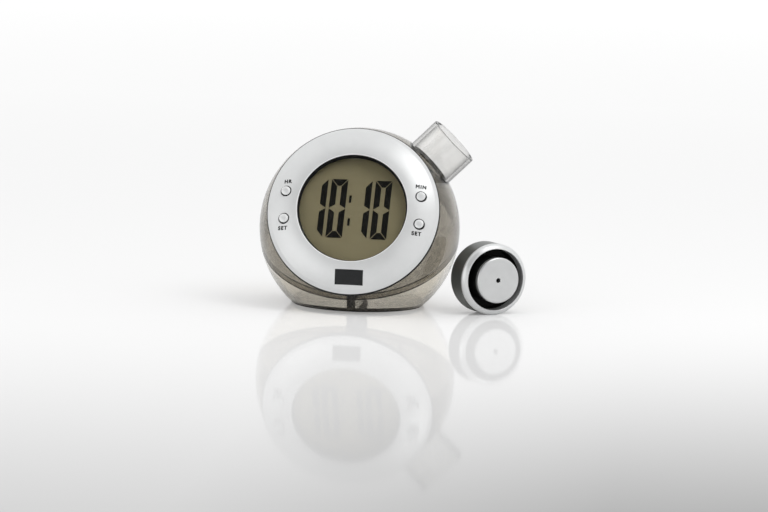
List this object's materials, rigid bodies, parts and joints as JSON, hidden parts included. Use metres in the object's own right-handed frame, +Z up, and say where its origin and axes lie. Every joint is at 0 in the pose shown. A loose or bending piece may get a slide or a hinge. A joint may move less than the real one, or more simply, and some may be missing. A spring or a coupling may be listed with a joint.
{
  "type": "water-powered desk clock",
  "caption": "Globe-shaped clear tank clock with a tilted round digital face, silver bezel with push buttons, a filler neck and a push-on cap lying beside it.",
  "frame": {"origin": "centre of the foot pad on the surface the clock stands on", "axes": "+Z up, -Y the way the face looks (tilted 22 degrees back), +X to the right as seen from the front, towards the filler neck"},
  "size_m": [0.1382, 0.0989, 0.0954],
  "materials": {
    "smoked_clear_plastic": "clear smoke-tinted moulding, polished",
    "clear_plastic": "clear moulding, polished",
    "clear_lens": "clear acrylic, polished",
    "silver_paint": "satin silver paint on plastic",
    "black_plastic": "moulded black",
    "charcoal_plastic": "fine matt moulding",
    "black_rubber": "moulded",
    "grey_rubber": "moulded silicone",
    "clear_foot": "soft non-slip disc",
    "zinc": "rolled zinc sheet",
    "copper": "rolled copper sheet",
    "brass": "turned",
    "steel": "plated",
    "board_green": "glass fibre board",
    "display_glass": "thin display glass",
    "olive_film": "reflective display film",
    "segment_black": "darkened display bars",
    "epoxy_black": "potted blob"
  },
  "bodies": {
    "clock": {"tank_upper_shell": "smoked_clear_plastic", "tank_lower_shell": "smoked_clear_plastic", "filler_neck": "clear_plastic", "base_pad": "clear_foot", "cell_divider": "black_plastic", "module_housing": "black_plastic", "module_gasket": "black_rubber", "housing_screws": "steel", "left_zinc_electrode": "zinc", "right_zinc_electrode": "zinc", "left_copper_electrode": "copper", "right_copper_electrode": "copper", "terminal_screws": "brass", "terminal_nuts": "brass", "contact_springs": "brass", "circuit_board": "board_green", "board_screws": "steel", "controller_chip": "epoxy_black", "quartz_crystal": "steel", "storage_capacitor": "black_plastic", "lcd_front_glass": "display_glass", "lcd_rear_glass": "display_glass", "lcd_reflector": "olive_film", "lcd_pad": "grey_rubber", "lcd_edge_seal": "black_rubber", "upper_contact_strip": "grey_rubber", "lower_contact_strip": "grey_rubber", "lcd_segments": "segment_black", "lcd_holder": "black_plastic", "display_lens": "clear_lens", "window_sleeve": "black_plastic", "bezel": "silver_paint", "bezel_seal": "black_rubber", "left_keypad": "grey_rubber", "right_keypad": "grey_rubber"},
    "hour_button": {"hour_button": "silver_paint"},
    "minute_button": {"minute_button": "silver_paint"},
    "left_set_button": {"left_set_button": "silver_paint"},
    "right_set_button": {"right_set_button": "silver_paint"},
    "vent_pin": {"vent_pin": "clear_plastic"},
    "cap": {"cap_shell": "charcoal_plastic", "cap_rim": "silver_paint", "cap_liner": "black_plastic", "cap_plug": "black_plastic", "plug_disc": "silver_paint", "cap_seal": "black_rubber"}
  },
  "joints": [
    {"name": "hour_press", "type": "slide", "parent": "clock", "child": "hour_button", "axis": [0, 0.9272, -0.3746], "range_m": [0, 0.0008], "stiffness_N_per_m": 600},
    {"name": "minute_press", "type": "slide", "parent": "clock", "child": "minute_button", "axis": [0, 0.9272, -0.3746], "range_m": [0, 0.0008], "stiffness_N_per_m": 600},
    {"name": "left_set_press", "type": "slide", "parent": "clock", "child": "left_set_button", "axis": [0, 0.9272, -0.3746], "range_m": [0, 0.0008], "stiffness_N_per_m": 600},
    {"name": "right_set_press", "type": "slide", "parent": "clock", "child": "right_set_button", "axis": [0, 0.9272, -0.3746], "range_m": [0, 0.0008], "stiffness_N_per_m": 600},
    {"name": "cap_swing", "type": "hinge", "parent": "clock", "child": "vent_pin", "pos_m": [0.07915, -0.01642, 0.06076], "axis": [-0.5918, -0.8038, 0.0598], "range_deg": [0, 233.47]},
    {"name": "cap_push", "type": "slide", "parent": "vent_pin", "child": "cap", "axis": [0.5225, -0.8526, 0], "range_m": [0, 0.0146]}
  ]
}
